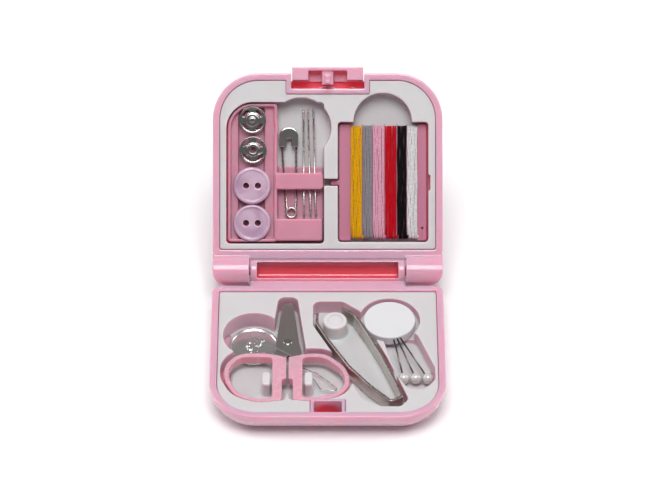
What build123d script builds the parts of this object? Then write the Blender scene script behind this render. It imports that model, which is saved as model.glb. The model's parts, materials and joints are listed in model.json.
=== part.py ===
from build123d import *
import math
import os

# Travel sewing kit: a hinged pink box, open, with a white tray in each half.
# Frame: X to the right, Y to the back, Z up. The origin is the middle of the flat underside of the base.
# Everything in the lid is drawn in the lid's own frame: x right, y from the hinge axis to the free edge,
# z out of the lid's open side, with the hinge axis on y = 0, z = 0.

# ---- box, overall (mm)
WIDTH = 70.0
DEPTH = 55.0
SHELL_H = 9.5
CORNER_R = 14.0
UNDER_R = 9.2
BACK_CORNER_R = 2.6
WALL = 2.0
FLOOR = 1.5
INNER_UNDER_R = 7.6
INNER_BACK_R = 0.8

# ---- hinge and lid position
PIVOT_BACK = 5.3
PIVOT_UP = 1.0
OPEN_ANGLE = 135.0
CLOSED_GAP = 0.3
BARREL_R = 3.5
BAR_CLEAR = 0.3
LUG_R = 4.45
BLOCK_HALF = 23.5
LUG_GAP = 0.4
PIN_R = 1.2
PIN_FIT = 0.05
PIN_LEN = 4.2
BORE_EXTRA = 0.6

# ---- trays
TRAY_FIT = 0.15
TRAY_DROP = 0.5
TRAY_SKIN = 0.9
POCKET_SKIN = 0.8
ITEM_GAP = 0.3
NEST_GAP = 0.12

HALF = WIDTH / 2
FRONT_Y = -DEPTH / 2
BACK_Y = DEPTH / 2
PIVOT_Y = BACK_Y + PIVOT_BACK
PIVOT_Z = SHELL_H + PIVOT_UP
FREE_V = PIVOT_Y - FRONT_Y
BAR_V = BARREL_R + BAR_CLEAR
RIM_W = PIVOT_UP - CLOSED_GAP
LEAN = math.radians(OPEN_ANGLE - 90)
LID = Plane(
    origin=(0, PIVOT_Y, PIVOT_Z),
    x_dir=(1, 0, 0),
    z_dir=(0, -math.cos(LEAN), math.sin(LEAN)),
)
TRAY_TOP = SHELL_H - TRAY_DROP
LID_TRAY_TOP = RIM_W - TRAY_DROP

parts = {}


# ---- shared shapes
def block(x0, x1, y0, y1, z0, z1):
    size = Box(x1 - x0, y1 - y0, z1 - z0)
    return Pos((x0 + x1) / 2, (y0 + y1) / 2, (z0 + z1) / 2) * size


def slab(plan, z0, z1):
    return Pos(0, 0, z0) * extrude(plan, z1 - z0)


def rounded(x0, x1, y0, y1, r):
    return Pos((x0 + x1) / 2, (y0 + y1) / 2) * RectangleRounded(x1 - x0, y1 - y0, r)


def disc(x, y, r):
    return Pos(x, y) * Circle(r)


def outline(points):
    return make_face(Polyline(*points, close=True))


def smooth(points, r):
    face = outline(points)
    return fillet(face.vertices(), r)


def eased(face, r):
    """The same outline with every outward corner rounded to r."""
    return offset(offset(face, -r), r)


def rod(a, b, r):
    a, b = Vector(*a), Vector(*b)
    way = b - a
    return extrude(Plane(origin=a, z_dir=way) * Circle(r), way.length)


def footprint(half, y_round, y_square, r):
    plan = Pos(0, (y_round + y_square) / 2) * Rectangle(2 * half, abs(y_round - y_square))
    ends = plan.vertices().group_by(Axis.Y)
    return fillet(ends[-1 if y_round > y_square else 0], r)


def pebble(half, y_round, y_square, depth, r, under_r, back_r):
    """A shallow dish shape below z = 0: two big corners at y_round, a rounded underside, a flat back."""
    body = extrude(footprint(half, y_round, y_square, r), -depth)
    low = body.edges().group_by(Axis.Z)[0]
    under = [e for e in low if abs(e.center().Y - y_square) > 0.01]
    body = fillet(under, under_r)
    back = [
        e
        for e in body.edges()
        if abs(e.center().Y - y_square) < 0.01 and e.center().Z < -0.001
    ]
    return fillet(back, back_r)


def outer_shape(y_round, y_square, depth):
    return pebble(HALF, y_round, y_square, depth, CORNER_R, UNDER_R, BACK_CORNER_R)


def inner_shape(y_round, y_square, depth, inset=0.0):
    """The hollow of a shell, drawn smaller by inset for what drops into it."""
    s = 1 if y_round > y_square else -1
    return pebble(
        HALF - WALL - inset,
        y_round - s * (WALL + inset),
        y_square + s * (WALL + inset),
        depth - FLOOR - inset,
        CORNER_R - WALL - inset,
        INNER_UNDER_R - inset,
        INNER_BACK_R,
    )


def tray(plan, top, pockets, keep):
    """A thin tray: a flat skin with thin-walled pockets let into it. pockets is (plan, floor) pairs."""
    body = slab(plan, top - TRAY_SKIN, top)
    for hole, floor in pockets:
        body += slab(offset(hole, POCKET_SKIN), floor - POCKET_SKIN, top - 0.01)
    for hole, floor in pockets:
        body -= slab(hole, floor, top + 1)
    return body & keep


# ---- base shell, hinge block and catch
BLOCK_ROOT_Y = BACK_Y - 1.0
BLOCK_ROOT_Z = 2.0
BLOCK_EDGE_R = 1.6
LAND_DEPTH = 3.4
LAND_TOE = (0.2, -2.4)
BLOCK_TOE = (0.6, 3.4)
TROUGH_LOW = 2.2
TROUGH_TOP = 2.75
TROUGH_FLOOR = -2.6
TROUGH_R = 1.4
EAR = 2.0
CATCH_HALF = 4.1
CATCH_FRONT = 25.5
CATCH_BACK = 20.9
CATCH_RIB = 0.9
CATCH_WALL = 1.0
CATCH_LOW = 0.8
CATCH_FLOOR = 3.2
LIP_H = 1.9
BARB_ROOM_H = 1.8
BARB_ROOM = 0.8


def hinge_block():
    """The base's central hinge block: barrel, stop land for the open lid, and a cored trough."""
    c, s = math.cos(LEAN), math.sin(LEAN)

    def at(v, w):
        return (PIVOT_Y + v * s - w * c, PIVOT_Z + v * c + w * s)

    land_a = at(BARREL_R, 0.0)
    land_b = at(BARREL_R, -LAND_DEPTH)
    profile = [
        (BLOCK_ROOT_Y, BLOCK_ROOT_Z),
        (BLOCK_ROOT_Y, SHELL_H),
        (PIVOT_Y - BARREL_R + 0.2, SHELL_H),
        (PIVOT_Y, PIVOT_Z),
        land_a,
        land_b,
        (land_b[0] + LAND_TOE[0], land_b[1] + LAND_TOE[1]),
        (PIVOT_Y + BLOCK_TOE[0], BLOCK_TOE[1]),
    ]
    side = Plane.YZ * outline(profile)
    barrel = Plane.YZ * (Pos(PIVOT_Y, PIVOT_Z) * Circle(BARREL_R))
    body = Pos(-BLOCK_HALF, 0, 0) * extrude(side, 2 * BLOCK_HALF)
    body += Pos(-BLOCK_HALF, 0, 0) * extrude(barrel, 2 * BLOCK_HALF)
    back = [e for e in body.edges().filter_by(Axis.X) if e.center().Y > PIVOT_Y and e.center().Z < PIVOT_Z]
    body = fillet(back, BLOCK_EDGE_R)
    x = BLOCK_HALF - EAR
    trough = block(-x, x, -TROUGH_LOW, TROUGH_TOP, TROUGH_FLOOR, 8.0)
    trough = fillet(trough.edges().filter_by(Axis.X).group_by(Axis.Z)[0], TROUGH_R)
    return body - LID.location * trough


def base_shell():
    body = Pos(0, 0, SHELL_H) * outer_shape(FRONT_Y, BACK_Y, SHELL_H)
    body += hinge_block()
    body -= Pos(0, 0, SHELL_H) * inner_shape(FRONT_Y, BACK_Y, SHELL_H)
    # catch box behind the front wall, with a lip that the latch hook grips
    x = CATCH_HALF + CATCH_WALL
    box_out = block(-x, x, -CATCH_FRONT - 0.4, -CATCH_BACK + CATCH_RIB, CATCH_LOW, TRAY_TOP + 0.3)
    box_in = block(-CATCH_HALF, CATCH_HALF, -CATCH_FRONT, -CATCH_BACK, CATCH_FLOOR, SHELL_H)
    body += box_out & (Pos(0, 0, SHELL_H) * outer_shape(FRONT_Y, BACK_Y, SHELL_H))
    body -= box_in
    room_top = SHELL_H - LIP_H
    body -= block(
        -CATCH_HALF + 0.8,
        CATCH_HALF - 0.8,
        -CATCH_FRONT - BARB_ROOM,
        -CATCH_FRONT + 0.1,
        room_top - BARB_ROOM_H,
        room_top,
    )
    for s in (-1, 1):
        start = s * (BLOCK_HALF - 0.5)
        end = s * (BLOCK_HALF + PIN_LEN)
        body += rod((start, PIVOT_Y, PIVOT_Z), (end, PIVOT_Y, PIVOT_Z), PIN_R)
    return body


# ---- lid shell, lugs and latch pocket
POCKET_HALF = 11.15
POCKET_LOW = 55.6
POCKET_BACK = -5.2
POCKET_WALL = 1.5


def lug(side):
    """A lid hinge lug: a barrel round the hinge axis, joined to the lid's lower bar."""
    inner = BLOCK_HALF + LUG_GAP
    x0, x1 = (inner, HALF) if side > 0 else (-HALF, -inner)
    round_part = Pos(x0, 0, 0) * extrude(Plane.YZ * Circle(LUG_R), x1 - x0)
    side_face = outline(
        [(-1.5, -LUG_R + 0.27), (BAR_V + 1.4, -SHELL_H + RIM_W + 1.3), (BAR_V + 1.4, RIM_W), (0, RIM_W)]
    )
    web = Pos(x0, 0, 0) * extrude(Plane.YZ * side_face, x1 - x0)
    body = round_part + web
    plan = rounded(-HALF, HALF, -LUG_R, FREE_V, LUG_R - 0.05)
    return body & slab(plan, -12, 12)


def lid_shell():
    body = Pos(0, 0, RIM_W) * outer_shape(FREE_V, BAR_V, SHELL_H)
    for side in (-1, 1):
        body += lug(side)
    inner_low = BAR_V
    hollow = Pos(0, 0, RIM_W) * inner_shape(FREE_V, inner_low + 0.7, SHELL_H)
    body -= hollow
    # latch pocket: walls inside, then the pocket itself, open to the front and to the rim
    px = POCKET_HALF + POCKET_WALL
    frame = block(-px, px, POCKET_LOW - POCKET_WALL, FREE_V - 1.0, POCKET_BACK - 1.3, RIM_W)
    body += frame & (Pos(0, 0, RIM_W) * outer_shape(FREE_V, BAR_V, SHELL_H))
    body -= block(-POCKET_HALF, POCKET_HALF, POCKET_LOW, FREE_V + 2, POCKET_BACK, RIM_W + 1)
    for side in (-1, 1):
        inner = BLOCK_HALF + LUG_GAP - 0.1
        end = BLOCK_HALF + PIN_LEN + BORE_EXTRA
        body -= rod((side * inner, 0, 0), (side * end, 0, 0), PIN_R + PIN_FIT)
    return body


# ---- latch button
LATCH_HALF = POCKET_HALF - 0.3
LATCH_FRONT = 62.2
LATCH_PLATE = 1.0
LATCH_TOP = 0.35
LATCH_LOW = POCKET_BACK + 0.3
LATCH_EDGE_R = 0.6
SKIRT_V = 58.0
SKIRT_T = 1.0
SIDE_IN = 5.9
SIDE_V = 58.3
STEM_HALF = 1.7
STEM_V = 57.9
STEM_TOP = -1.4
HOOK_HALF = 0.75
HOOK_V = (56.9, 58.0)
HOOK_DOWN = 5.6
BARB_OUT = 0.8


def latch_button():
    """A push button: front plate, back skirt and two cheeks, with the hook on a stem in the middle."""
    inside = LATCH_FRONT - LATCH_PLATE / 2
    plate = block(-LATCH_HALF, LATCH_HALF, LATCH_FRONT - LATCH_PLATE, LATCH_FRONT, LATCH_LOW, LATCH_TOP)
    body = fillet(plate.edges().filter_by(Axis.Y), LATCH_EDGE_R)
    body += block(-LATCH_HALF, LATCH_HALF, SKIRT_V, inside, LATCH_LOW, LATCH_LOW + SKIRT_T)
    for s in (-1, 1):
        x0, x1 = sorted((s * SIDE_IN, s * LATCH_HALF))
        body += block(x0, x1, SIDE_V, inside, LATCH_LOW, LATCH_TOP)
    body += block(-STEM_HALF, STEM_HALF, STEM_V, inside, LATCH_LOW, STEM_TOP)
    body += block(-STEM_HALF, STEM_HALF, HOOK_V[0], inside, STEM_TOP - 0.01, STEM_TOP + 1.1)
    # hook blade, its gusset and the barb that grips the base's lip
    body += block(-HOOK_HALF, HOOK_HALF, *HOOK_V, STEM_TOP + 1.0, HOOK_DOWN)
    body += block(-HOOK_HALF, HOOK_HALF, HOOK_V[1] - 0.1, HOOK_V[1] + 1.8, STEM_TOP + 1.0, LATCH_TOP)
    lip = RIM_W + CLOSED_GAP + LIP_H + CLOSED_GAP
    root = HOOK_V[1] - 0.1
    barb = outline([(root, lip), (HOOK_V[1] + BARB_OUT, lip), (root, HOOK_DOWN)])
    return body + Pos(-HOOK_HALF, 0, 0) * extrude(Plane.YZ * barb, 2 * HOOK_HALF)


# ---- latch leaf
LEAF_HALF = 2.7
LEAF_BOW = 1.1
LEAF_T = 0.5
LEAF_W = (-4.0, -1.9)


def latch_leaf():
    """A bowed leaf on the pocket's back wall that pushes the button out again."""
    root = POCKET_LOW + 0.01
    foot = LEAF_HALF - 0.6
    bow = ThreePointArc((-LEAF_HALF, root), (0, POCKET_LOW + LEAF_BOW), (LEAF_HALF, root))
    under = ThreePointArc((foot, POCKET_LOW), (0, POCKET_LOW + LEAF_BOW - LEAF_T), (-foot, POCKET_LOW))
    right_foot = Line((LEAF_HALF, root), (foot, POCKET_LOW))
    left_foot = Line((-foot, POCKET_LOW), (-LEAF_HALF, root))
    return slab(make_face([bow, right_foot, under, left_foot]), *LEAF_W)


# ---- scissors (symmetrical about their own axis)
CUT_X = -12.0
RIVET_Y = 5.6
RIVET_R = 1.0
BLADE_T = 0.8
BLADE_LOW = 5.6
BLADE_GAP = 0.06
HANDLE_LOW = 4.9
HANDLE_T = 3.1
RING_BAND = 1.45
RING_HOLE_R = 1.1
RING_TOP = 0.2
RING_LOW = -19.6
SHANK_IN = 1.6
SHANK_OUT = 4.5
STOP_LOW = -11.0
# corners of each ring's outline: distance out from the scissors' axis, y, rounding
RING_RIGHT = [
    (SHANK_IN, RING_TOP - 1.1, 0),
    (6.0, RING_TOP, 12),
    (11.5, RING_TOP, 7),
    (17.4, RING_TOP - 5.8, 9),
    (19.0, RING_TOP - 11.7, 8),
    (16.2, RING_LOW + 2.0, 7),
    (7.2, RING_LOW, 12),
    (SHANK_IN, RING_LOW + 0.7, 0),
]
RING_LEFT = [
    (SHANK_IN, RING_TOP - 1.1, 0),
    (6.0, RING_TOP, 12),
    (14.2, RING_TOP, 6),
    (18.9, RING_TOP - 4.4, 7.5),
    (18.9, RING_TOP - 11.0, 10),
    (15.6, RING_LOW + 2.0, 8),
    (8.6, RING_LOW - 0.6, 10),
    (SHANK_IN, RING_LOW + 0.5, 0),
]


def blade(side, z):
    """One blade and its tang; side is the side the tang goes to."""
    s = side

    def p(x, y):
        return (CUT_X + s * x, y)

    face = outline(
        [
            p(0.9, 22.4),
            p(1.55, 21.2),
            p(1.9, 19.0),
            p(2.6, 9.0),
            p(4.2, 1.5),
            p(3.9, -5.5),
            p(1.4, -5.5),
            p(0.9, -0.1),
            p(-3.7, 3.2),
            p(-3.3, 7.0),
            p(-1.9, 19.0),
            p(-1.5, 21.4),
            p(-0.6, 22.4),
        ]
    )
    body = slab(face, z, z + BLADE_T)
    return body - slab(disc(CUT_X, RIVET_Y, RIVET_R + PIN_FIT), z - 1, z + BLADE_T + 1)


def ring_face(side, grow=0.0):
    """The D-shaped outline of one finger ring, grown by grow; side is 1 for the right-hand one."""
    corners = RING_RIGHT if side > 0 else RING_LEFT
    face = outline([(CUT_X + side * x, y) for x, y, _ in corners])
    for x, y, r in corners:
        if r:
            near = face.vertices().sort_by_distance((CUT_X + side * x, y, 0))[0]
            face = fillet(near, r)
    return offset(face, grow) if grow else face


def handle(side, tang):
    """A moulded finger ring with its shank and closing stop."""
    top = HANDLE_LOW + HANDLE_T
    shank = Pos(CUT_X + side * (SHANK_OUT - 5), -10) * Rectangle(10, 40)
    hole = eased(ring_face(side, -RING_BAND) - shank, RING_HOLE_R)
    body = slab(ring_face(side) - hole, HANDLE_LOW, top)
    stop = smooth(
        [
            (CUT_X + side * 0.3, RING_TOP - 1.4),
            (CUT_X + side * 3.0, RING_TOP - 1.4),
            (CUT_X + side * 3.0, STOP_LOW),
            (CUT_X + side * 0.3, STOP_LOW + 0.8),
        ],
        0.25,
    )
    body += slab(stop, HANDLE_LOW, top)
    return body - tang


def scissors():
    low = blade(-1, BLADE_LOW)
    high = blade(1, BLADE_LOW + BLADE_T + BLADE_GAP)
    parts["scissor_blade_lower"] = low
    parts["scissor_blade_upper"] = high
    parts["scissor_handle_right"] = handle(1, high)
    parts["scissor_handle_left"] = handle(-1, low)
    top = BLADE_LOW + 2 * BLADE_T + BLADE_GAP
    pin = slab(disc(CUT_X, RIVET_Y, RIVET_R), BLADE_LOW - 0.3, top + 0.35)
    cap = slab(disc(CUT_X, RIVET_Y, RIVET_R + 0.45), top + 0.05, top + 0.4)
    foot = slab(disc(CUT_X, RIVET_Y, RIVET_R + 0.45), BLADE_LOW - 0.35, BLADE_LOW)
    cap = fillet(cap.edges().group_by(Axis.Z)[-1], 0.25)
    parts["scissor_rivet"] = pin + cap + foot


# ---- needle threader
THREADER_X = -22.2
THREADER_Y = 7.2
THREADER_R = 7.5
THREADER_LOW = 3.2
THREADER_T = 0.6
THREADER_RIM = 0.35


def threader():
    plate = slab(disc(THREADER_X, THREADER_Y, THREADER_R), THREADER_LOW, THREADER_LOW + THREADER_T)
    top = THREADER_LOW + THREADER_T
    ring = disc(THREADER_X, THREADER_Y, THREADER_R) - disc(THREADER_X, THREADER_Y, THREADER_R - 0.7)
    plate += slab(ring, top - 0.05, top + THREADER_RIM)
    parts["threader_plate"] = plate
    wire_z = top + 0.14
    r = 0.13
    start = (THREADER_X + 5.0, THREADER_Y - 4.2)
    path = [start, (-3.2, -4.4), (4.4, -12.2), (-2.2, -10.8), (-3.9, -7.2)]
    line = FilletPolyline(*[(x, y, wire_z) for x, y in path], close=True, radius=0.9)
    section = Plane(origin=line @ 0.02, z_dir=line % 0.02) * Circle(r)
    wire = sweep(section, path=line)
    parts["threader_wire"] = wire


# ---- tweezers: one bent strip standing on edge
TWEEZER_T = 0.8
TWEEZER_LOW = 4.3
TWEEZER_H = 4.85
LEFT_ARM = [(-3.1, 16.2), (-3.3, 12.0), (0.3, 4.4), (6.5, -6.6), (12.6, -14.4), (18.6, -20.6)]
RIGHT_ARM = [(4.3, 18.4), (8.2, 15.4), (12.5, 6.5), (16.3, -2.4), (20.0, -12.4), (22.0, -18.8)]
BENDS = [1.2, 8, 20, 20, 0.9, 0.9, 20, 20, 8, 1.2]


def tweezers():
    pts = LEFT_ARM + RIGHT_ARM[::-1]
    line = FilletPolyline(*pts, radius=BENDS)
    return slab(trace(line, TWEEZER_T), TWEEZER_LOW, TWEEZER_LOW + TWEEZER_H)


# ---- pin disc and pearl-headed pins
PIN_DISC_X = 18.6
PIN_DISC_Y = 13.3
PIN_DISC_R = 7.75
PIN_DISC_T = 3.0
PIN_DISC_TOP = TRAY_TOP + 0.1
PEARL_R = 1.75
PEARL_Z = 6.3
PEARL_Y = -8.8
PEARL_X = 22.6
PEARL_STEP = 3.6
PIN_SHAFT_R = 0.25


def pin_set():
    low = PIN_DISC_TOP - PIN_DISC_T
    body = slab(disc(PIN_DISC_X, PIN_DISC_Y, PIN_DISC_R), low, PIN_DISC_TOP)
    body = fillet(body.edges().group_by(Axis.Z)[-1], 0.35)
    for i in range(3):
        head = (PEARL_X + i * PEARL_STEP, PEARL_Y, PEARL_Z)
        point = (19.3 + i * 0.7, 8.6, PIN_DISC_TOP - 0.75)
        shaft = rod(head, point, PIN_SHAFT_R)
        pearl = Pos(*head) * Sphere(PEARL_R)
        body -= shaft
        parts[f"pin_shaft_{i + 1}"] = shaft - pearl
        parts[f"pearl_head_{i + 1}"] = pearl
    parts["pin_disc"] = body


# ---- base tray
SCOOP_R = 9.2
DISC_POCKET_R = 9.2
POST_R = 3.6
POST_DIMPLE_R = 2.5
POST_DIMPLE = 0.6
POST_EDGE_R = 0.5
RING_ROOM = 1.1
RING_FLOOR = 2.6
BLADE_FLOOR = 3.3
ARMS_POCKET_R = 2.2
PINS_POCKET_R = 2.8
SHANK_POST = (0.6, 3.0)
SHANK_POST_Y = (-13.0, -7.6)
SHANK_POST_R = 0.9
SHANK_POST_TOP = TRAY_TOP - 0.9
REST_X = (2.2, 4.2)
REST_Y = (-15.0, -9.0)
ROUND_POST = (2.2, 13.2)


def base_pockets():
    rings = ring_face(1, RING_ROOM) + ring_face(-1, RING_ROOM)
    rings += Pos(CUT_X, -9) * Rectangle(6, 18)
    slot = smooth(
        [
            (CUT_X - 2.8, 23.1),
            (CUT_X + 2.8, 23.1),
            (CUT_X + 5.6, 0.0),
            (CUT_X + 5.6, -3.0),
            (CUT_X - 5.6, -3.0),
            (CUT_X - 5.6, 0.0),
        ],
        2.2,
    )
    scoop = disc(THREADER_X, THREADER_Y - 0.1, SCOOP_R)
    arms = eased(
        outline(
            [
                (-4.4, 21.2),
                (4.6, 21.2),
                (9.8, 17.0),
                (13.7, 7.0),
                (17.6, -2.2),
                (21.3, -12.4),
                (23.9, -19.8),
                (21.4, -22.8),
                (15.6, -22.6),
                (10.0, -19.6),
                (7.6, -14.0),
                (5.0, -7.2),
                (-0.9, 4.0),
                (-4.4, 11.0),
            ]
        ),
        ARMS_POCKET_R,
    )
    pins = eased(
        outline(
            [
                (15.9, 8.0),
                (26.6, 8.0),
                (31.9, -6.8),
                (31.9, -11.6),
                (28.6, -16.0),
                (23.8, -15.4),
                (20.1, -9.2),
            ]
        ),
        PINS_POCKET_R,
    )
    return [
        (rings, RING_FLOOR),
        (slot, BLADE_FLOOR),
        (scoop, THREADER_LOW - 0.3),
        (disc(PIN_DISC_X, PIN_DISC_Y, DISC_POCKET_R), PIN_DISC_TOP - PIN_DISC_T - 0.3),
        (pins, PEARL_Z - PEARL_R - ITEM_GAP),
        (arms, TWEEZER_LOW - 0.3),
    ]


def base_tray():
    plan = footprint(
        HALF - WALL - TRAY_FIT,
        FRONT_Y + WALL + TRAY_FIT,
        BACK_Y - WALL - TRAY_FIT,
        CORNER_R - WALL - TRAY_FIT,
    )
    keep = Pos(0, 0, SHELL_H) * inner_shape(FRONT_Y, BACK_Y, SHELL_H, TRAY_FIT)
    body = tray(plan, TRAY_TOP, base_pockets(), keep)
    # posts beside the shanks, rests under them, and a dimpled round post between the tweezer tips
    for s in (-1, 1):
        x0, x1 = sorted(CUT_X + s * (SHANK_OUT + gap) for gap in SHANK_POST)
        post = slab(rounded(x0, x1, *SHANK_POST_Y, SHANK_POST_R), RING_FLOOR - 0.6, SHANK_POST_TOP)
        body += fillet(post.edges().group_by(Axis.Z)[-1], POST_EDGE_R) & keep
        x0, x1 = sorted(CUT_X + s * x for x in REST_X)
        body += block(x0, x1, *REST_Y, RING_FLOOR - 0.6, HANDLE_LOW - ITEM_GAP)
    post = slab(disc(*ROUND_POST, POST_R), TWEEZER_LOW - 0.6, TRAY_TOP)
    body += fillet(post.edges().group_by(Axis.Z)[-1], POST_EDGE_R)
    body -= slab(disc(*ROUND_POST, POST_DIMPLE_R), TRAY_TOP - POST_DIMPLE, TRAY_TOP + 1)
    x = CATCH_HALF + CATCH_WALL + NEST_GAP
    return body - block(-x, x, -DEPTH, -CATCH_BACK + CATCH_RIB + NEST_GAP, -1, SHELL_H + 1)


# ---- lid tray
LEFT_POCKET = (-30.9, -1.1, 8.4, 51.6)
CARD_POCKET = (3.1, 30.7, 8.9, 45.5)
POCKET_FLOOR = -5.6
SCOOP_LEFT = (-8.1, 43.8, 9.2)
SCOOP_RIGHT = (16.8, 45.5, 8.9)


def lid_tray():
    low = BAR_V + 0.7 + WALL + TRAY_FIT
    plan = footprint(
        HALF - WALL - TRAY_FIT,
        FREE_V - WALL - TRAY_FIT,
        low,
        CORNER_R - WALL - TRAY_FIT,
    )
    keep = Pos(0, 0, RIM_W) * inner_shape(FREE_V, BAR_V + 0.7, SHELL_H, TRAY_FIT)
    left = rounded(*LEFT_POCKET, 1.2)
    corner = Pos(LEFT_POCKET[0], LEFT_POCKET[3]) * Rectangle(16, 16)
    left = left - corner + disc(LEFT_POCKET[0] + 8.3, LEFT_POCKET[3] - 8.3, 8.3)
    left += block_face(LEFT_POCKET[0] + 8, -14, 40, LEFT_POCKET[3])
    left += disc(*SCOOP_LEFT)
    card = rounded(*CARD_POCKET, 1.0) + disc(*SCOOP_RIGHT)
    card += block_face(-1.3, 3.4, 26.0, 28.2) + block_face(30.5, 31.3, 24.6, 29.4)
    pockets = [(left, POCKET_FLOOR), (card, POCKET_FLOOR)]
    body = tray(plan, LID_TRAY_TOP, pockets, keep)
    x = POCKET_HALF + POCKET_WALL + NEST_GAP
    return body - block(-x, x, POCKET_LOW - POCKET_WALL - NEST_GAP, FREE_V + 5, -SHELL_H, SHELL_H)


def block_face(x0, x1, y0, y1):
    return Pos((x0 + x1) / 2, (y0 + y1) / 2) * Rectangle(x1 - x0, y1 - y0)


# ---- notions holder
HOLD_BACK = POCKET_FLOOR + ITEM_GAP
HOLD_SKIN = 1.0
LEDGE_W = -2.6
HOLD_TOP = -0.9
CLIP_TOP = -0.35
FOOT_TOP = -0.45
HOLD_X = (-30.5, -15.4)
HOLD_V = (9.0, 51.2)
CHANNEL = (-27.3, -19.3)
CLIP_V = (25.0, 30.0)
FOOT_V = (9.3, 16.0)


def notions_holder():
    x0, x1 = HOLD_X
    v0, v1 = HOLD_V
    tub = rounded(x0, x1, v0, v1, 1.0) - (Pos(x0, v1) * Rectangle(15.4, 15.4))
    tub += disc(x0 + 7.7, v1 - 7.7, 7.7)
    body = slab(tub, HOLD_BACK, HOLD_TOP)
    body -= slab(offset(tub, -0.9), LEDGE_W, HOLD_TOP + 1)
    body -= slab(rounded(*CHANNEL, v0 + 0.9, v1 - 1.2, 0.6), HOLD_BACK + HOLD_SKIN, LEDGE_W + 1)
    plate = block(x1 - 0.5, -1.4, v0, 32.1, HOLD_BACK, HOLD_BACK + HOLD_SKIN)
    clip = block(x1 - 0.5, -1.4, *CLIP_V, HOLD_BACK + 0.5, CLIP_TOP)
    clip = fillet(clip.edges().filter_by(Axis.Z), 0.9)
    clip -= block(x1 + 0.4, -2.4, CLIP_V[0] - 1, CLIP_V[1] + 1, HOLD_BACK + HOLD_SKIN, -2.6)
    foot = block(x1 - 0.5, -1.6, *FOOT_V, HOLD_BACK + 0.5, FOOT_TOP)
    foot = fillet(foot.edges().filter_by(Axis.Z), 0.7)
    body = body + plate + clip + foot
    for v in BUTTON_V:
        body -= slab(disc(BUTTON_X, v, BUTTON_R + NEST_GAP), LEDGE_W, HOLD_TOP + 1)
    for u, v in SNAPS:
        body -= slab(disc(u, v, SNAP_R + NEST_GAP), LEDGE_W, HOLD_TOP + 1)
    return body


# ---- things the holder carries
BUTTON_R = 5.65
BUTTON_T = 1.9
BUTTON_EDGE_R = 0.6
BUTTON_DISH_R = 4.7
BUTTON_DISH = 0.3
BUTTON_HOLE = (1.8, 0.95)
BUTTON_X = -23.1
BUTTON_V = (26.1, 14.7)
SNAP_R = 4.15
SNAP_SHEET = 0.5
SNAP_BEAD = 0.45
SNAP_BOSS_R = 2.1
SNAP_BOSS = 1.25
SEW_AT = 3.0
SEW_ARC = 34.0
SEW_WIDE = 0.85
STUD_R = 0.9
STUD_H = 1.9
SOCKET_R = 1.05
SNAPS = [(-23.0, 46.2), (-22.8, 37.0)]
NEEDLE_R = 0.3
NEEDLE_W = -3.5
NEEDLES = [(-7.4, 49.3, -7.2), (-6.0, 49.4, -5.1), (-4.4, 49.7, -3.5)]
NEEDLE_POINT_V = 12.5
WIRE_R = 0.33
COIL_WIRE_R = 0.37
COIL = (-11.1, 17.95, 1.45)
CAP_U = (-14.75, -8.95)
CAP_V = (38.0, 44.1)
CAP_R = 2.5
CAP_HALF = 0.75
CAP_SLOT_U = (-12.55, -11.15)
CAP_SLOT_TOP = 40.6


def shirt_button(v):
    low = LEDGE_W
    body = slab(disc(BUTTON_X, v, BUTTON_R), low, low + BUTTON_T)
    body = fillet(body.edges().group_by(Axis.Z)[-1], BUTTON_EDGE_R)
    body -= slab(disc(BUTTON_X, v, BUTTON_DISH_R), low + BUTTON_T - BUTTON_DISH, low + BUTTON_T + 1)
    out, r = BUTTON_HOLE
    for s in (-1, 1):
        body -= slab(disc(BUTTON_X + s * out, v, r), low - 1, low + BUTTON_T + 1)
    return body


def snap_half(x, v, stud):
    """A sew-on snap half: a beaded disc with four sewing openings, and a stud or a socket."""
    low = LEDGE_W
    body = slab(disc(x, v, SNAP_R), low, low + SNAP_SHEET)
    body += slab(disc(x, v, SNAP_R) - disc(x, v, SNAP_R - SNAP_BEAD), low, low + SNAP_SHEET + 0.3)
    body += slab(disc(x, v, SNAP_BOSS_R), low, low + SNAP_BOSS)
    body = fillet(body.edges().group_by(Axis.Z)[-1], 0.35)
    for k in range(4):
        middle = 45 + 90 * k
        arc = CenterArc((x, v), SEW_AT, middle - SEW_ARC / 2, SEW_ARC)
        body -= slab(SlotArc(arc, SEW_WIDE), low - 1, low + 2)
    if stud:
        knob = slab(disc(x, v, STUD_R), low + SNAP_BOSS - 0.05, low + STUD_H)
        return body + fillet(knob.edges().group_by(Axis.Z)[-1], 0.4)
    return body - slab(disc(x, v, SOCKET_R), low - 1, low + 2)


def needle(x_eye, v_eye, x_point):
    """A sewing needle: straight shank, tapered point, long eye."""
    eye = Vector(x_eye, v_eye, NEEDLE_W)
    tip = Vector(x_point, NEEDLE_POINT_V, NEEDLE_W)
    way = (tip - eye).normalized()
    length = (tip - eye).length
    shank = extrude(Plane(origin=eye, z_dir=way) * Circle(NEEDLE_R), length - 5)
    at = Plane(origin=eye + way * (length - 5), z_dir=way)
    point = at.location * Pos(0, 0, 2.5) * Cone(NEEDLE_R, 0.06, 5)
    body = shank + point
    hole = Plane(origin=eye + way * 2.0, x_dir=way, z_dir=(0, 0, 1))
    cut = hole.location * Box(1.9, 0.26, 3)
    return body - cut


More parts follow.
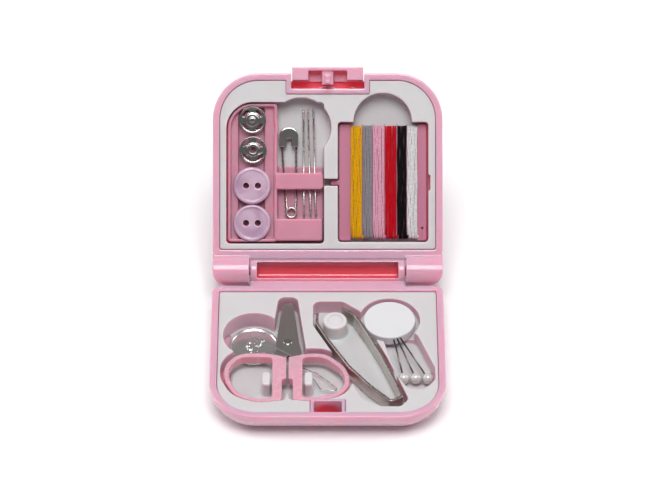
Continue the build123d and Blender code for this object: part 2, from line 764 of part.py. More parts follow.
def safety_pin():
    cx, cv, cr = COIL
    w = NEEDLE_W + 0.1
    left_top = (-14.1, 40.2, w)
    right_top = (-9.6, 40.2, w)
    wire = rod(left_top, (cx - cr, cv - 0.3, w), WIRE_R)
    wire += rod(right_top, (cx + cr, cv - 0.3, w), WIRE_R)
    turns = Circle(COIL_WIRE_R) + Pos(0, 0.6) * Circle(COIL_WIRE_R)
    coil = revolve(Plane.XZ * (Pos(cr, w) * turns), Axis.Z)
    wire += Pos(cx, cv, 0) * coil
    arch = rounded(*CAP_U, CAP_V[0] - CAP_R, CAP_V[1], CAP_R) & block_face(*CAP_U, *CAP_V)
    cap = slab(arch - rounded(*CAP_SLOT_U, CAP_V[0] - 1, CAP_SLOT_TOP, 0.5), w - CAP_HALF, w + CAP_HALF)
    cap = fillet(cap.edges().group_by(Axis.Z)[-1], 0.3)
    parts["safety_pin_cap"] = LID.location * (cap - wire)
    parts["safety_pin_wire"] = LID.location * wire


def notions():
    holder = notions_holder()
    for i, (x_eye, v_eye, x_point) in enumerate(NEEDLES):
        pin = needle(x_eye, v_eye, x_point)
        holder -= rod((x_eye, v_eye, NEEDLE_W), (x_point, NEEDLE_POINT_V - 0.2, NEEDLE_W), NEEDLE_R)
        parts[f"needle_{i + 1}"] = LID.location * pin
    parts["notions_holder"] = LID.location * holder
    for i, v in enumerate(BUTTON_V):
        parts[f"button_{i + 1}"] = LID.location * shirt_button(v)
    parts["snap_stud"] = LID.location * snap_half(*SNAPS[0], True)
    parts["snap_socket"] = LID.location * snap_half(*SNAPS[1], False)
    safety_pin()


# ---- thread card and threads
CARD_W = -3.2
CARD_T = 0.9
CARD_U = (3.5, 30.2)
CARD_V = (9.4, 45.1)
LANES = [
    ("yellow", 7.0, 10.5),
    ("grey", 10.7, 13.6),
    ("pink", 13.8, 17.3),
    ("red", 17.5, 21.0),
    ("black", 21.2, 24.1),
    ("white", 24.3, 27.4),
]
LANE_NOTCH = 1.0
THREAD_BULGE = 1.1


def thread_card():
    face = rounded(*CARD_U, *CARD_V, 0.8)
    for _, a, b in LANES:
        for v in CARD_V:
            face -= Pos((a + b) / 2, v) * Rectangle(b - a, 2 * LANE_NOTCH)
    face += block_face(0.9, 3.9, 26.4, 27.8)
    face -= disc(28.9, 9.8 + 3.4, 0.35)
    face -= block_face(28.75, 29.05, 9.0, 13.2)
    return slab(face, CARD_W - CARD_T / 2, CARD_W + CARD_T / 2)


def thread_winding(a, b):
    """Thread wound round the card in one lane: a flat ring of thread about the card."""
    v0 = CARD_V[0] + LANE_NOTCH
    v1 = CARD_V[1] - LANE_NOTCH
    half = CARD_T / 2
    mid = (v0 + v1) / 2
    out = Pos(mid, CARD_W) * RectangleRounded(v1 - v0 + 1.5, 2 * (half + THREAD_BULGE), 0.7)
    core = Pos(mid, CARD_W) * Rectangle(v1 - v0, CARD_T)
    ring = Plane.YZ * (out - core)
    return Pos(a, 0, 0) * extrude(ring, b - a)


def main():
    parts["base_shell"] = base_shell()
    parts["lid_shell"] = LID.location * lid_shell()
    parts["latch_button"] = LID.location * latch_button()
    parts["latch_leaf"] = LID.location * latch_leaf()
    parts["base_tray"] = base_tray()
    parts["lid_tray"] = LID.location * lid_tray()
    scissors()
    threader()
    parts["tweezers"] = tweezers()
    pin_set()
    notions()
    parts["thread_card"] = LID.location * thread_card()
    for name, a, b in LANES:
        parts[f"thread_{name}"] = LID.location * thread_winding(a, b)
    os.makedirs("parts", exist_ok=True)
    for name, solid in parts.items():
        export_step(solid, f"parts/{name}.step")


main()
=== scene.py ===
import json
import math
import random

import bmesh
import bpy
from mathutils import Matrix, Vector
from mathutils.bvhtree import BVHTree

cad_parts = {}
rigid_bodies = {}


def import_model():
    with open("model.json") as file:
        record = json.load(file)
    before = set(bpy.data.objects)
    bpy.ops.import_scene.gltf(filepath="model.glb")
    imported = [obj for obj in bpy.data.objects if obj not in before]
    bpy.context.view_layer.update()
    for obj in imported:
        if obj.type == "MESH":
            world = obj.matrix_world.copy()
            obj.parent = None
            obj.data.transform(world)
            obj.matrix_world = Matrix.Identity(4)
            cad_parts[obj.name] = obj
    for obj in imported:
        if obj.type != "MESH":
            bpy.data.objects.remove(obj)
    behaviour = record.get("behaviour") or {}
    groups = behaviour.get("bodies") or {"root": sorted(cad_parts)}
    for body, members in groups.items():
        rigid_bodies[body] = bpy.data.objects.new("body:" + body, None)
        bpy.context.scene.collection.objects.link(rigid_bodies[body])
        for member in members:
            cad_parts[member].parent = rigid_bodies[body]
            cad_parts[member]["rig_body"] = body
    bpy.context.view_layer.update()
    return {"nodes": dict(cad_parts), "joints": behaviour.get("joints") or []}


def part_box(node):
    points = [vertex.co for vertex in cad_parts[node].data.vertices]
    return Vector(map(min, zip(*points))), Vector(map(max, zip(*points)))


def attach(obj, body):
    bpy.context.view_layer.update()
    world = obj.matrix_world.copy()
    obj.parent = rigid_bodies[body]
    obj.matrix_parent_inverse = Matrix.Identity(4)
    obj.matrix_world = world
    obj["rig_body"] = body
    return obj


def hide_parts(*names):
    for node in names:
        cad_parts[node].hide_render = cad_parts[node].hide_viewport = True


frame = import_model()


# Base shell. The lower half of the box is one injection moulding in glossy pink polystyrene: floor, walls,
# hinge block, pivot pins and the catch box behind the front wall. The mould leaves every edge a little soft.
ON_TABLE = Matrix.Identity(4)
UP = (0, 0, 1)
SAME_POINT = 2e-6


def new_piece(name, mesh, body, slot, material, *stands_for):
    """A shown piece that rides on a body and takes the place of CAD nodes."""
    piece = bpy.data.objects.new(name, mesh)
    bpy.context.scene.collection.objects.link(piece)
    mesh.materials.append(material)
    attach(piece, body)
    if stands_for:
        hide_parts(*stands_for)
    return piece


def moulded(node, slot, material, cell, rounds, keep, own_frame=ON_TABLE, flats_true=True):
    """A node's shape as it leaves the mould: edges and inside corners rounded, flats left true."""
    source = frame["nodes"][node]
    work = bmesh.new()
    work.from_mesh(source.data)
    bmesh.ops.remove_doubles(work, verts=work.verts, dist=SAME_POINT)
    bmesh.ops.transform(work, matrix=own_frame.inverted(), verts=work.verts)
    sharp = bpy.data.meshes.new(node + "_sharp")
    work.to_mesh(sharp)
    flats = BVHTree.FromBMesh(work)
    work.free()
    blank = bpy.data.objects.new(node + "_blank", sharp)
    bpy.context.scene.collection.objects.link(blank)
    skin = blank.modifiers.new("skin", "REMESH")
    skin.mode = "VOXEL"
    skin.voxel_size = cell
    soften = blank.modifiers.new("soften", "SMOOTH")
    soften.iterations = rounds
    soften.factor = 0.5
    seen = blank.evaluated_get(bpy.context.evaluated_depsgraph_get())
    blank.data = bpy.data.meshes.new_from_object(seen)
    blank.modifiers.clear()
    for vert in blank.data.vertices if flats_true else ():
        spot, _, _, away = flats.find_nearest(vert.co)
        if away < cell / 8:
            vert.co = spot
    thin = blank.modifiers.new("thin", "DECIMATE")
    thin.ratio = keep
    seen = blank.evaluated_get(bpy.context.evaluated_depsgraph_get())
    mesh = bpy.data.meshes.new_from_object(seen)
    mesh.name = node + "_moulded"
    mesh.materials.clear()
    mesh.transform(own_frame)
    mesh.shade_smooth()
    bpy.data.objects.remove(blank)
    piece = new_piece(node + "_moulded", mesh, source["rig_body"], slot, material, node)
    piece.modifiers.new("true_flats", "WEIGHTED_NORMAL")
    return piece


def finish(name, colour, drift, rough, grain, relief, stretch=(1, 1, 1), metal=0.0):
    """A surface whose colour drifts a little and whose gloss and fine relief follow the same grain."""
    material = bpy.data.materials.new(name)
    material.use_nodes = True
    nodes = material.node_tree.nodes
    link = material.node_tree.links.new
    shader = nodes["Principled BSDF"]
    shader.inputs["Metallic"].default_value = metal
    where = nodes.new("ShaderNodeTexCoord")
    lay = nodes.new("ShaderNodeMapping")
    lay.inputs["Scale"].default_value = stretch
    link(where.outputs["Object"], lay.inputs["Vector"])
    cloud = nodes.new("ShaderNodeTexNoise")
    cloud.name = "cloud"
    cloud.inputs["Scale"].default_value = grain / 8
    cloud.inputs["Detail"].default_value = 3
    link(lay.outputs["Vector"], cloud.inputs["Vector"])
    fine = nodes.new("ShaderNodeTexNoise")
    fine.name = "fine"
    fine.inputs["Scale"].default_value = grain
    fine.inputs["Detail"].default_value = 5
    link(lay.outputs["Vector"], fine.inputs["Vector"])
    tint = nodes.new("ShaderNodeMix")
    tint.name = "tint"
    tint.data_type = "RGBA"
    tint.inputs["A"].default_value = (*colour, 1)
    tint.inputs["B"].default_value = (*drift, 1)
    link(cloud.outputs["Fac"], tint.inputs["Factor"])
    link(tint.outputs["Result"], shader.inputs["Base Color"])
    gloss = nodes.new("ShaderNodeMapRange")
    gloss.inputs["From Min"].default_value = 0.3
    gloss.inputs["From Max"].default_value = 0.7
    gloss.inputs["To Min"].default_value = rough[0]
    gloss.inputs["To Max"].default_value = rough[1]
    link(fine.outputs["Fac"], gloss.inputs["Value"])
    link(gloss.outputs["Result"], shader.inputs["Roughness"])
    bump = nodes.new("ShaderNodeBump")
    bump.name = "bump"
    bump.inputs["Strength"].default_value = 0.6
    bump.inputs["Distance"].default_value = relief
    link(fine.outputs["Fac"], bump.inputs["Height"])
    link(bump.outputs["Normal"], shader.inputs["Normal"])
    return material


def translucent(material, weight, radius, depth):
    """Light wanders inside a thin moulding, further in its own colour."""
    shader = material.node_tree.nodes["Principled BSDF"]
    shader.inputs["Subsurface Weight"].default_value = weight
    shader.inputs["Subsurface Radius"].default_value = radius
    shader.inputs["Subsurface Scale"].default_value = depth
    return material


def painted_light_copy(material, centre, reach, painted_colour, opens, turn=0.0):
    """A copy of a finish with light painted into its colour inside a recess, on the faces that its opening
    shows.
    """
    painted = material.copy()
    nodes = painted.node_tree.nodes
    link = painted.node_tree.links.new
    where = nodes.new("ShaderNodeTexCoord")
    place = nodes.new("ShaderNodeMapping")
    place.vector_type = "TEXTURE"
    place.inputs["Location"].default_value = centre
    place.inputs["Rotation"].default_value = (turn, 0, 0)
    place.inputs["Scale"].default_value = reach
    link(where.outputs["Object"], place.inputs["Vector"])
    ball = nodes.new("ShaderNodeTexGradient")
    ball.gradient_type = "SPHERICAL"
    link(place.outputs["Vector"], ball.inputs["Vector"])
    edge = nodes.new("ShaderNodeMapRange")
    edge.interpolation_type = "SMOOTHSTEP"
    edge.inputs["From Max"].default_value = 0.35
    link(ball.outputs["Fac"], edge.inputs["Value"])
    facing = nodes.new("ShaderNodeVectorMath")
    facing.operation = "DOT_PRODUCT"
    facing.inputs[1].default_value = opens
    link(where.outputs["Normal"], facing.inputs[0])
    shown = nodes.new("ShaderNodeMapRange")
    shown.inputs["From Min"].default_value = -0.3
    shown.inputs["From Max"].default_value = -0.05
    link(facing.outputs["Value"], shown.inputs["Value"])
    both = nodes.new("ShaderNodeMath")
    both.operation = "MULTIPLY"
    link(edge.outputs["Result"], both.inputs[0])
    link(shown.outputs["Result"], both.inputs[1])
    paint = nodes.new("ShaderNodeMix")
    paint.data_type = "RGBA"
    paint.inputs["B"].default_value = (*painted_colour, 1)
    shader = nodes["Principled BSDF"]
    link(shader.inputs["Base Color"].links[0].from_socket, paint.inputs["A"])
    link(both.outputs["Value"], paint.inputs["Factor"])
    link(paint.outputs["Result"], shader.inputs["Base Color"])
    return painted


shell_pink = finish("shell_pink_gloss", (0.72, 0.40, 0.51), (0.70, 0.375, 0.485), (0.2, 0.26), 500, 1e-6)
shell_pink.node_tree.nodes["Principled BSDF"].inputs["Coat Weight"].default_value = 0.35
translucent(shell_pink, 0.9, (1.0, 0.16, 0.2), 0.007)
# Painted glow: the hinge trough and catch box are painted deep red, as light bounced inside them.
PAINTED_RED_GLOW = (0.88, 0.10, 0.15)
TROUGH_AT = (0, 0.0331, 0.0085)
TROUGH_REACH = (0.06, 0.0036, 0.0038)
CATCH_AT = (0, -0.0228, 0.0045)
CATCH_REACH = (0.0062, 0.0036, 0.0052)
trough_red_glow = painted_light_copy(shell_pink, TROUGH_AT, TROUGH_REACH, PAINTED_RED_GLOW, UP)
catch_red_glow = painted_light_copy(trough_red_glow, CATCH_AT, CATCH_REACH, PAINTED_RED_GLOW, UP)
moulded("base_shell", "shell_pink", catch_red_glow, 0.0002, 4, 0.26)


# Base tray. A thin white polystyrene insert pressed into the base, with a shaped pocket for each tool, two
# posts that hold the scissors shut and a dimpled post between the tweezers' tips.
tray_white = finish("tray_white_satin", (0.64, 0.605, 0.615), (0.615, 0.575, 0.59), (0.34, 0.44), 900, 2e-6)
translucent(tray_white, 0.6, (1.0, 0.45, 0.55), 0.003)


def shaded_pink_walls(material, upright):
    """A copy of the tray's finish whose steep walls, thin where they were drawn, let the pink shell show, and
    are painted darker as shade.
    """
    walled = material.copy()
    nodes = walled.node_tree.nodes
    link = walled.node_tree.links.new
    facing = nodes.new("ShaderNodeTexCoord")
    steep = nodes.new("ShaderNodeVectorMath")
    steep.operation = "DOT_PRODUCT"
    steep.inputs[1].default_value = upright
    link(facing.outputs["Normal"], steep.inputs[0])
    fade = nodes.new("ShaderNodeMapRange")
    fade.inputs["From Min"].default_value = 0.1
    fade.inputs["From Max"].default_value = 0.9
    link(steep.outputs["Value"], fade.inputs["Value"])
    wall_shade_pink = nodes.new("ShaderNodeMix")
    wall_shade_pink.data_type = "RGBA"
    wall_shade_pink.inputs["A"].default_value = (0.68, 0.42, 0.50, 1)
    link(fade.outputs["Result"], wall_shade_pink.inputs["Factor"])
    link(nodes["tint"].outputs["Result"], wall_shade_pink.inputs["B"])
    link(wall_shade_pink.outputs["Result"], nodes["Principled BSDF"].inputs["Base Color"])
    return walled


# Painted shade: the tray's steep walls are painted a darker pink.
base_white = shaded_pink_walls(tray_white, UP)
# Painted light: the posts are painted a lighter white, as lit, clear of the walls' painted shade.
POST_LIT_WHITE = (0.67, 0.645, 0.655)
SHANK_REACH = (0.003, 0.0048, 0.008)
ROUND_REACH = (0.0065, 0.0065, 0.009)
POSTS = [
    ((-0.0183, -0.0103, 0.0055), SHANK_REACH),
    ((-0.0057, -0.0103, 0.0055), SHANK_REACH),
    ((0.0022, 0.0132, 0.0065), ROUND_REACH),
]
for post, reach in POSTS:
    base_white = painted_light_copy(base_white, post, reach, POST_LIT_WHITE, UP)
moulded("base_tray", "tray_white", base_white, 0.0002, 5, 0.28)


# Needle threader. A disc stamped from soft aluminium sheet, its rim raised and burnished, with a plain
# classical head in low relief. A loop of springy wire is clamped under it.
low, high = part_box("threader_plate")
THREADER_AT = (low + high) / 2
THREADER_R = (high.x - low.x) / 2
SHEET = 0.0006
RIM_WIDE = 0.0008
RIM_HIGH = high.z - low.z - SHEET
# soft bosses of the head, in mm on the disc: x, y, half width, half height, turn in degrees, height
BOSSES = [
    (0.3, 1.7, 2.15, 2.35, 0, 1.0),
    (-0.75, 0.6, 1.35, 2.1, 8, 0.92),
    (-1.15, -0.95, 0.85, 0.75, 0, 0.82),
    (-2.0, 0.35, 0.45, 0.8, -24, 0.75),
    (-1.75, -0.55, 0.42, 0.3, 0, 0.72),
    (0.35, -1.7, 1.0, 1.9, -14, 0.75),
    (2.1, 2.5, 1.15, 1.05, 0, 0.95),
    (0.6, -3.9, 3.3, 1.35, 6, 0.7),
]
HOLLOWS = [
    (-1.25, 0.9, 0.42, 0.22, 0, 0.3),
    (0.45, 0.55, 0.32, 0.5, 10, 0.25),
    (-1.55, -0.33, 0.35, 0.08, 0, 0.2),
]
RELIEF = 0.00034


def swell(x, y, spot):
    """How high a soft oval boss stands at x, y."""
    cx, cy, wide, tall, turn, height = spot
    angle = math.radians(turn)
    u = ((x - cx) * math.cos(angle) + (y - cy) * math.sin(angle)) / wide
    v = (-(x - cx) * math.sin(angle) + (y - cy) * math.cos(angle)) / tall
    inside = max(0.0, 1.0 - u * u - v * v)
    return height * min(1.0, 1.6 * math.sqrt(inside))


def stamped(x, y):
    """The height of the relief at a point of the disc, from 0 to 1."""
    level = max(swell(x, y, boss) for boss in BOSSES)
    level -= sum(swell(x, y, hollow) for hollow in HOLLOWS)
    hair = max(0.0, swell(x, y, BOSSES[0]) - 0.35) if y > 1.2 or x > 0.9 else 0.0
    level += 0.16 * hair * math.sin(5.5 * math.hypot(x + 1.6, y - 0.4))
    folds = swell(x, y, BOSSES[7])
    return level + 0.2 * folds * math.sin(7.0 * math.atan2(y + 1.0, x - 0.3) * 2)


work = bmesh.new()
profile = [(0.0, 0.0), (THREADER_R, 0.0), (THREADER_R, SHEET + RIM_HIGH * 0.7)]
profile += [(THREADER_R - RIM_WIDE * 0.3, SHEET + RIM_HIGH), (THREADER_R - RIM_WIDE * 0.7, SHEET + RIM_HIGH)]
RINGS = 56
inner = THREADER_R - RIM_WIDE
profile += [(inner * (1 - k / RINGS), SHEET) for k in range(RINGS + 1)]
corners = [work.verts.new((r, 0, z)) for r, z in profile]
sides = [work.edges.new(pair) for pair in zip(corners, corners[1:])]
bmesh.ops.spin(
    work, geom=corners + sides, cent=(0, 0, 0), axis=(0, 0, 1), angle=2 * math.pi, steps=220, use_merge=True
)
bmesh.ops.remove_doubles(work, verts=work.verts, dist=1e-6)
bmesh.ops.recalc_face_normals(work, faces=work.faces)
for vert in work.verts:
    if vert.co.z > SHEET * 0.99 and vert.co.xy.length < inner * 0.97:
        vert.co.z += RELIEF * stamped(vert.co.x * 1000, vert.co.y * 1000)
bmesh.ops.smooth_vert(work, verts=[v for v in work.verts if v.co.xy.length < inner * 0.97], factor=0.5)
bmesh.ops.translate(work, verts=work.verts, vec=(THREADER_AT.x, THREADER_AT.y, low.z))
mesh = bpy.data.meshes.new("threader_stamping")
work.to_mesh(mesh)
work.free()
mesh.shade_smooth()
aluminium = finish(
    "threader_aluminium", (0.95, 0.95, 0.94), (0.90, 0.90, 0.89), (0.2, 0.27), 900, 5e-8, metal=1.0
)
new_piece("threader_stamping", mesh, "threader", "threader_aluminium", aluminium, "threader_plate")


def drawn(node, slot, material):
    """A node that is drawn wire: its own shape, with one smooth skin and no facets."""
    source = frame["nodes"][node]
    work = bmesh.new()
    work.from_mesh(source.data)
    bmesh.ops.remove_doubles(work, verts=work.verts, dist=SAME_POINT)
    mesh = bpy.data.meshes.new(node + "_drawn")
    work.to_mesh(mesh)
    work.free()
    mesh.materials.clear()
    mesh.shade_smooth()
    return new_piece(node + "_drawn", mesh, source["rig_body"], slot, material, node)


spring_wire = finish("spring_wire", (0.60, 0.58, 0.55), (0.54, 0.52, 0.49), (0.24, 0.3), 900, 1e-7, metal=1.0)
drawn("threader_wire", "wire_steel", spring_wire)


# Scissors. Two blades stamped from 0.8 mm steel and ground flat, run on one domed rivet. Each tang is
# moulded into a pink finger ring, and the rings' stops meet below the rivet.
handle_pink = finish("handle_pink_gloss", (0.72, 0.39, 0.47), (0.70, 0.36, 0.44), (0.22, 0.3), 600, 5e-7)
translucent(handle_pink, 0.8, (1.0, 0.2, 0.25), 0.004)
for node in ("scissor_handle_right", "scissor_handle_left"):
    moulded(node, "handle_pink", handle_pink, 0.00016, 30, 1.0, flats_true=False)
ground_steel = finish(
    "blade_ground_steel", (0.56, 0.55, 0.52), (0.50, 0.49, 0.46), (0.28, 0.34), 420, 1e-7, (10, 1.5, 3), 1.0
)
for node in ("scissor_blade_upper", "scissor_blade_lower"):
    moulded(node, "blade_steel", ground_steel, 0.00012, 2, 0.3)
polished_steel = finish(
    "rivet_polished", (0.62, 0.6, 0.58), (0.52, 0.5, 0.48), (0.1, 0.18), 900, 2e-7, metal=1.0
)
moulded("scissor_rivet", "rivet_steel", polished_steel, 0.00009, 8, 0.8, flats_true=False)


# Tweezers. One strip of stainless steel, brushed along its length and bent back on itself, that stands
# on its edge round the dimpled post.
brushed_steel = finish(
    "tweezer_brushed", (0.60, 0.55, 0.52), (0.48, 0.43, 0.4), (0.24, 0.36), 420, 1.5e-6, (1.5, 1.5, 14), 1.0
)
moulded("tweezers", "tweezer_steel", brushed_steel, 0.00014, 2, 0.3)


# Pin disc. A flat white plastic button that three steel pins are stuck into; each pin's head is a
# lacquered plastic pearl.
disc_white = finish("pin_disc_satin", (0.70, 0.70, 0.715), (0.67, 0.67, 0.685), (0.3, 0.4), 900, 1e-6)
translucent(disc_white, 0.3, (0.9, 0.9, 1.0), 0.001)
moulded("pin_disc", "pin_disc_white", disc_white, 0.00018, 3, 0.3)
blued_steel = finish(
    "pin_blued_steel", (0.2, 0.18, 0.18), (0.14, 0.12, 0.12), (0.25, 0.35), 900, 2e-7, metal=1.0
)
pearl_skin = finish(
    "pearl_lacquer", (0.64, 0.62, 0.61), (0.58, 0.55, 0.55), (0.14, 0.2), 900, 1e-6, metal=0.12
)
pearl_skin.node_tree.nodes["Principled BSDF"].inputs["Coat Weight"].default_value = 0.9
for number in (1, 2, 3):
    drawn(f"pin_shaft_{number}", "pin_steel", blued_steel)
    low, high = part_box(f"pearl_head_{number}")
    work = bmesh.new()
    bmesh.ops.create_uvsphere(work, u_segments=48, v_segments=28, radius=(high.x - low.x) / 2)
    bmesh.ops.translate(work, verts=work.verts, vec=(low + high) / 2)
    mesh = bpy.data.meshes.new(f"pearl_{number}")
    work.to_mesh(mesh)
    work.free()
    mesh.shade_smooth()
    new_piece(f"pearl_{number}", mesh, "pins", "pearl", pearl_skin, f"pearl_head_{number}")


# Lid shell and latch. The lid is the same pink moulding with two lugs round the hinge pins. In its front
# edge sits a push button on a bowed leaf; its hook drops through the base's catch box.
hinge = next(joint for joint in frame["joints"] if joint["name"] == "lid_hinge")
LEAN = math.radians(45)
IN_LID = Matrix.Translation(Vector(hinge["pos_m"])) @ Matrix.Rotation(LEAN, 4, "X")
LID_OUT = IN_LID.to_3x3() @ Vector(UP)
# Painted glow: the lid's hinge pocket is painted the same deep red, as light bounced inside it.
POCKET_AT = IN_LID @ Vector((0, 0.0565, -0.0045))
POCKET_REACH = (0.018, 0.0036, 0.0036)
pocket_red_glow = painted_light_copy(shell_pink, POCKET_AT, POCKET_REACH, PAINTED_RED_GLOW, LID_OUT, LEAN)
moulded("lid_shell", "shell_pink", pocket_red_glow, 0.0002, 4, 0.3, IN_LID)
latch_pink = finish("latch_pink_gloss", (0.72, 0.39, 0.50), (0.70, 0.36, 0.47), (0.2, 0.28), 600, 1e-6)
translucent(latch_pink, 0.8, (1.0, 0.2, 0.25), 0.004)
moulded("latch_button", "latch_pink", latch_pink, 0.00014, 4, 0.3, IN_LID)
moulded("latch_leaf", "latch_pink", latch_pink, 0.00008, 2, 0.3, IN_LID)


# Lid tray. The lid's white insert, with one pocket for the notions holder, one for the thread card and a
# round scoop over each for a fingertip.
# Painted shade: its steep walls are painted a darker pink, like the base tray's.
moulded("lid_tray", "tray_white", shaded_pink_walls(tray_white, LID_OUT), 0.0002, 5, 0.28, IN_LID)


# Notions holder. A frosted pink moulding: a tub for the buttons and snaps, a clip over the safety pin and
# needles, and a foot that hides their points.
holder_pink = finish("holder_pink_frosted", (0.62, 0.27, 0.36), (0.58, 0.235, 0.325), (0.34, 0.44), 800, 1e-6)
translucent(holder_pink, 0.8, (1.0, 0.18, 0.24), 0.004)
moulded("notions_holder", "holder_pink", holder_pink, 0.00014, 26, 0.3, IN_LID, flats_true=False)


# Buttons. Two shirt buttons turned from pearly lilac resin, dished, with two sewing holes each.
button_lilac = finish("button_lilac_pearl", (0.34, 0.16, 0.30), (0.78, 0.62, 0.72), (0.1, 0.16), 900, 5e-7)
swirl = button_lilac.node_tree.nodes["cloud"]
swirl.inputs["Scale"].default_value = 110
swirl.inputs["Detail"].default_value = 1.5
swirl.inputs["Distortion"].default_value = 1.2
button_lilac.node_tree.nodes["Principled BSDF"].inputs["Coat Weight"].default_value = 0.4
translucent(button_lilac, 0.7, (1.0, 0.6, 0.8), 0.0015)
# Painted light: each sewing hole is painted light pink, as if lit from the pink holder beneath.
HOLE_OUT = 0.0018
HOLE_REACH = (0.0013, 0.0013, 0.006)
HOLE_LIT_PINK = (0.95, 0.62, 0.74)
for number in (1, 2):
    low, high = (IN_LID.inverted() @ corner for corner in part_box(f"button_{number}"))
    holes_lit = button_lilac
    for side in (-1, 1):
        hole_at = IN_LID @ ((low + high) / 2 + Vector((side * HOLE_OUT, 0, 0)))
        holes_lit = painted_light_copy(holes_lit, hole_at, HOLE_REACH, HOLE_LIT_PINK, LID_OUT, LEAN)
    moulded(f"button_{number}", "button_lilac", holes_lit, 0.0001, 4, 0.3, IN_LID)


# Snap fastener. Two halves stamped from plated steel, each with four sewing holes: one carries the stud,
# the other a socket with a bent wire spring across it.
plated_steel = finish(
    "snap_plated_steel", (0.50, 0.49, 0.47), (0.36, 0.35, 0.34), (0.06, 0.12), 900, 2e-7, metal=1.0
)
for node in ("snap_stud", "snap_socket"):
    moulded(node, "snap_steel", plated_steel, 0.00006, 9, 0.5, IN_LID, flats_true=False)

socket_low, socket_high = (IN_LID.inverted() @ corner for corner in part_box("snap_socket"))
socket_at = (socket_low + socket_high) / 2
SPRING_BENDS = [(-2.9, 0.7), (-2.1, 1.5), (-0.9, 1.1), (-0.72, 0.0), (-1.0, -1.2), (-1.9, -1.7)]
SPRING_R = 0.00016
SPRING_UP = 0.00062
for side in (-1, 1):
    data = bpy.data.curves.new("snap_spring", "CURVE")
    data.dimensions = "3D"
    data.bevel_depth = SPRING_R
    data.bevel_resolution = 3
    spline = data.splines.new("NURBS")
    spline.points.add(len(SPRING_BENDS) - 1)
    for point, (x, y) in zip(spline.points, SPRING_BENDS):
        along = Vector((side * x / 1000, side * y / 1000, SPRING_UP)) + socket_at
        point.co = (*(IN_LID @ along), 1)
    spline.order_u = 3
    spline.use_endpoint_u = True
    shaped = bpy.data.objects.new("snap_spring_path", data)
    bpy.context.scene.collection.objects.link(shaped)
    mesh = bpy.data.meshes.new_from_object(shaped.evaluated_get(bpy.context.evaluated_depsgraph_get()))
    bpy.data.objects.remove(shaped)
    new_piece(f"snap_spring_{'left' if side < 0 else 'right'}", mesh, "notions", "snap_steel", plated_steel)


# Safety pin and needles. One nickel-plated wire coiled once at the tail, its head a folded cap; beside it
# three sewing needles with long eyes.
folded_cap = finish("cap_nickel", (0.56, 0.55, 0.54), (0.44, 0.43, 0.42), (0.06, 0.12), 900, 2e-7, metal=1.0)
moulded("safety_pin_cap", "cap_steel", folded_cap, 0.00007, 90, 0.6, IN_LID, flats_true=False)
drawn("safety_pin_wire", "wire_steel", spring_wire)
for number in (1, 2, 3):
    drawn(f"needle_{number}", "needle_steel", spring_wire)


# Thread card. A notched card of pink polystyrene, wound with six colours of polyester sewing thread. Each
# colour is one strand, laid up the front, over the notch and down the back, turn beside turn.
card_pink = finish("card_pink_satin", (0.52, 0.185, 0.28), (0.49, 0.165, 0.255), (0.36, 0.46), 800, 3e-6)
translucent(card_pink, 0.3, (1.0, 0.4, 0.45), 0.001)
moulded("thread_card", "card_pink", card_pink, 0.00014, 2, 0.2, IN_LID)
STRAND = 0.00024
PITCH = 0.00043
WANDER = 0.00011
CROWN = 0.00026
LAYS = 9
THREADS = {
    "yellow": (0.92, 0.47, 0.002),
    "grey": (0.32, 0.30, 0.33),
    "pink": (0.90, 0.44, 0.58),
    "red": (0.64, 0.001, 0.011),
    "black": (0.003, 0.002, 0.002),
    "white": (0.92, 0.90, 0.91),
}
rng = random.Random(7)


def rim_tips(work, edges):
    """The open ring that an extrusion ends on: its edges and their ends."""
    ring = [edge for edge in edges if len(edge.link_faces) == 1]
    return ring, list({vert for edge in ring for vert in edge.verts})


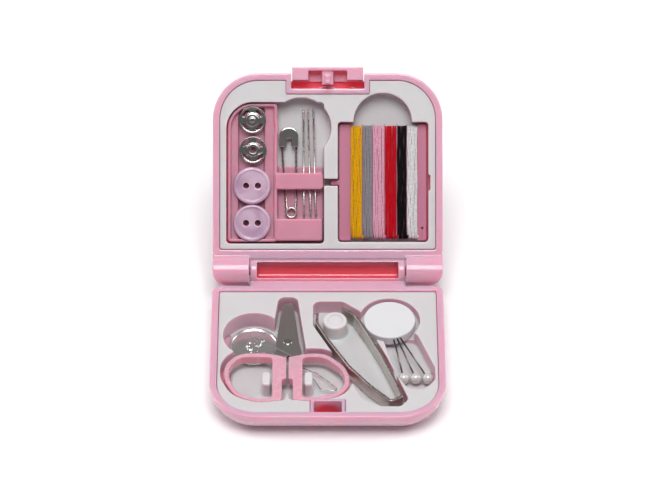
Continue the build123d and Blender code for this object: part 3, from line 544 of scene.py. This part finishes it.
def wound_lane(node):
    """One strand wound round the card from one side of its lane to the other."""
    to_lid = IN_LID.inverted()
    points = [to_lid @ vert.co for vert in frame["nodes"][node].data.vertices]
    low = Vector([min(point[axis] for point in points) for axis in range(3)])
    high = Vector([max(point[axis] for point in points) for axis in range(3)])
    middle = (low.z + high.z) / 2
    lift = (high.z - low.z) / 2 - STRAND - CROWN - WANDER
    start, end = low.y + lift + 2 * STRAND, high.y - lift - 2 * STRAND
    turns = round((high.x - low.x - 2 * STRAND) / PITCH)
    step_over = (high.x - low.x - 2 * STRAND) / turns
    work = bmesh.new()
    bmesh.ops.create_circle(work, segments=6, radius=STRAND)
    bmesh.ops.rotate(work, verts=work.verts, matrix=Matrix.Rotation(math.radians(90), 3, "X"))
    bmesh.ops.translate(work, verts=work.verts, vec=(low.x + STRAND, start, middle + lift))
    ring, tips = list(work.edges), list(work.verts)
    here = aside = 0.0
    for turn in range(turns + 1):
        crown = CROWN * math.sin(math.pi * (turn + 0.5) / (turns + 1))
        runs = [(end - start) / LAYS] * LAYS
        for step, run in enumerate(runs):
            level = crown * math.sin(math.pi * (step + 1) / LAYS) + rng.uniform(-WANDER, WANDER)
            sway = rng.uniform(-WANDER, WANDER)
            made = bmesh.ops.extrude_edge_only(work, edges=ring)["geom"]
            ring, tips = rim_tips(work, [part for part in made if isinstance(part, bmesh.types.BMEdge)])
            bmesh.ops.translate(work, verts=tips, vec=(sway - aside, run, level - here))
            here, aside = level, sway
        for centre, run in ((end, (step_over, start - end, 0)), (start, None)):
            made = bmesh.ops.spin(
                work, geom=ring + tips, cent=(0, centre, middle), axis=(1, 0, 0), angle=-math.pi, steps=6
            )["geom_last"]
            ring = [part for part in made if isinstance(part, bmesh.types.BMEdge)]
            tips = [part for part in made if isinstance(part, bmesh.types.BMVert)]
            if run:
                made = bmesh.ops.extrude_edge_only(work, edges=ring)["geom"]
                ring, tips = rim_tips(work, [part for part in made if isinstance(part, bmesh.types.BMEdge)])
                bmesh.ops.translate(work, verts=tips, vec=run)
    bmesh.ops.holes_fill(work, edges=work.edges, sides=8)
    bmesh.ops.recalc_face_normals(work, faces=work.faces)
    bmesh.ops.transform(work, matrix=IN_LID, verts=work.verts)
    mesh = bpy.data.meshes.new(node + "_wound")
    work.to_mesh(mesh)
    work.free()
    mesh.shade_smooth()
    return mesh


for colour, shade in THREADS.items():
    node = f"thread_{colour}"
    # Painted shade: each thread darkens in fine patches, as the shade between the strand's twists.
    shadow = tuple(channel * 0.45 for channel in shade)
    spun = finish(node + "_spun", shade, shadow, (0.5, 0.75), 2200, 4e-5)
    spun.node_tree.nodes["cloud"].inputs["Scale"].default_value = 1700
    spun.node_tree.nodes["Principled BSDF"].inputs["Specular IOR Level"].default_value = 0.12
    new_piece(node + "_wound", wound_lane(node), "card", node, spun, node)


# The table, the soft light over it and the camera, which looks down on the open box from in front.
TABLE_SIZE = 4.0
work = bmesh.new()
bmesh.ops.create_grid(work, x_segments=1, y_segments=1, size=TABLE_SIZE)
mesh = bpy.data.meshes.new("table")
work.to_mesh(mesh)
work.free()
table = bpy.data.objects.new("table", mesh)
bpy.context.scene.collection.objects.link(table)
mesh.materials.append(finish("table_white", (0.97, 0.97, 0.97), (0.96, 0.96, 0.96), (0.6, 0.7), 60, 1e-6))

world = bpy.data.worlds.new("studio")
world.use_nodes = True
world.node_tree.nodes["Background"].inputs["Color"].default_value = (1.0, 1.0, 1.0, 1)
world.node_tree.nodes["Background"].inputs["Strength"].default_value = 0.2
bpy.context.scene.world = world


def softbox(name, place, aim, size, power):
    """A square studio light at place that faces aim."""
    data = bpy.data.lights.new(name, "AREA")
    data.size = size
    data.energy = power
    lamp = bpy.data.objects.new(name, data)
    bpy.context.scene.collection.objects.link(lamp)
    lamp.location = place
    lamp.rotation_euler = (Vector(aim) - Vector(place)).to_track_quat("-Z", "Y").to_euler()


softbox("overhead", (0.0, -0.3, 1.3), (0, 0.02, 0), 0.75, 14.5)
softbox("left", (-1.1, 0.3, 0.75), (0, 0.02, 0.02), 0.7, 4.8)
softbox("right", (1.1, 0.3, 0.75), (0, 0.02, 0.02), 0.7, 4.8)

CAMERA_AT = (-0.000815, -0.78967, 0.80630)
CAMERA_DOWN = 43.733
camera_data = bpy.data.cameras.new("camera")
camera_data.lens = 208.0
camera_data.sensor_width = 36.0
camera_data.clip_start = 0.05
camera = bpy.data.objects.new("camera", camera_data)
bpy.context.scene.collection.objects.link(camera)
camera.location = CAMERA_AT
camera.rotation_euler = (math.radians(90 - CAMERA_DOWN), 0, 0)
bpy.context.scene.camera = camera
bpy.context.scene.view_settings.view_transform = "Standard"
